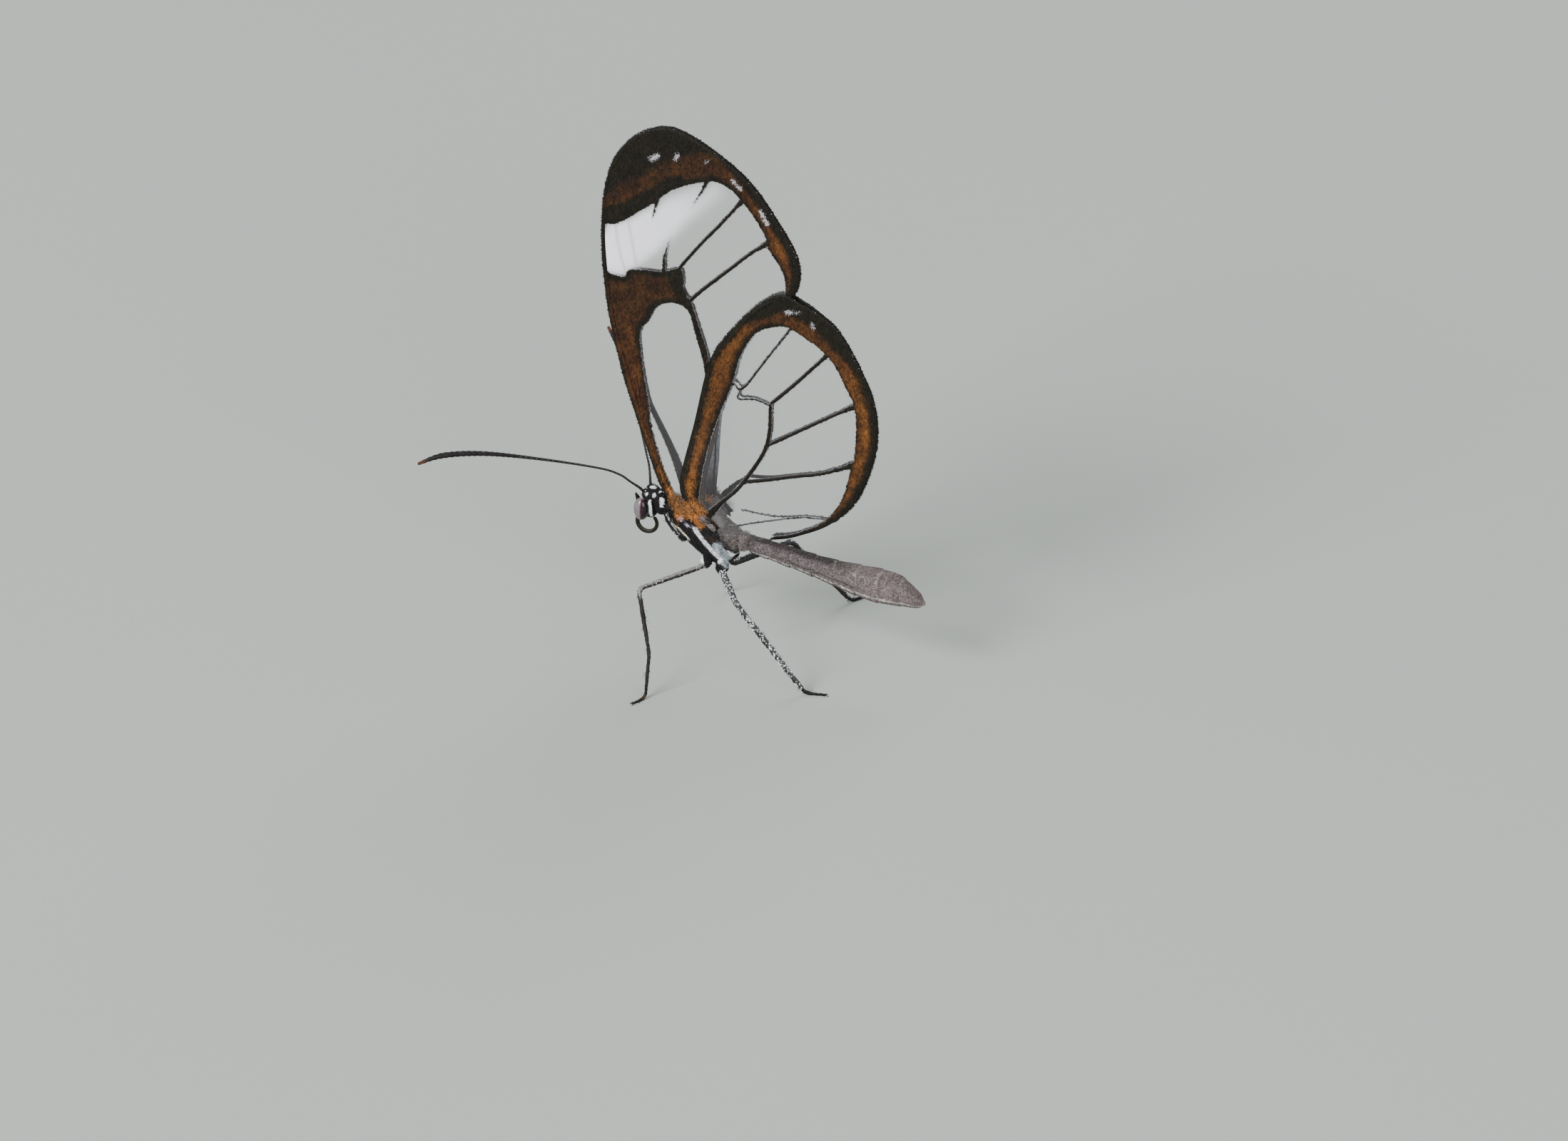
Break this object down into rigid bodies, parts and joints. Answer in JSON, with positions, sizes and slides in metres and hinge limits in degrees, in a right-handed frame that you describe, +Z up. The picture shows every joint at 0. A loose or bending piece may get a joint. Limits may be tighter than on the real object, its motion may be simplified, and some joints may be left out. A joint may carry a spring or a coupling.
{
  "type": "glasswing butterfly",
  "caption": "Glasswing butterfly at rest on its middle and hind legs, clear dark-bordered wings closed over its back, slender feelers spread.",
  "frame": {"origin": "on the floor under the middle of the whole model's bounding box", "axes": "-X towards the head, +X towards the tail, -Y towards the animal's left side, +Z up"},
  "size_m": [0.0272, 0.0168, 0.033],
  "materials": {
    "body": "matte",
    "abdomen": "matte",
    "eye": "gloss",
    "mouth": "matte",
    "feeler": "matte",
    "wing": "satin",
    "leg": "matte"
  },
  "bodies": {
    "root": {"head": "body", "thorax": "body", "abdomen": "abdomen", "eye_left": "eye", "eye_right": "eye", "palp_left": "mouth", "palp_right": "mouth", "proboscis": "mouth", "antenna_left": "feeler", "antenna_right": "feeler", "forewing_left": "wing", "forewing_right": "wing", "hindwing_left": "wing", "hindwing_right": "wing", "midleg_left": "leg", "midleg_right": "leg", "hindleg_left": "leg", "hindleg_right": "leg", "foreleg_left": "leg", "foreleg_right": "leg"}
  },
  "joints": []
}
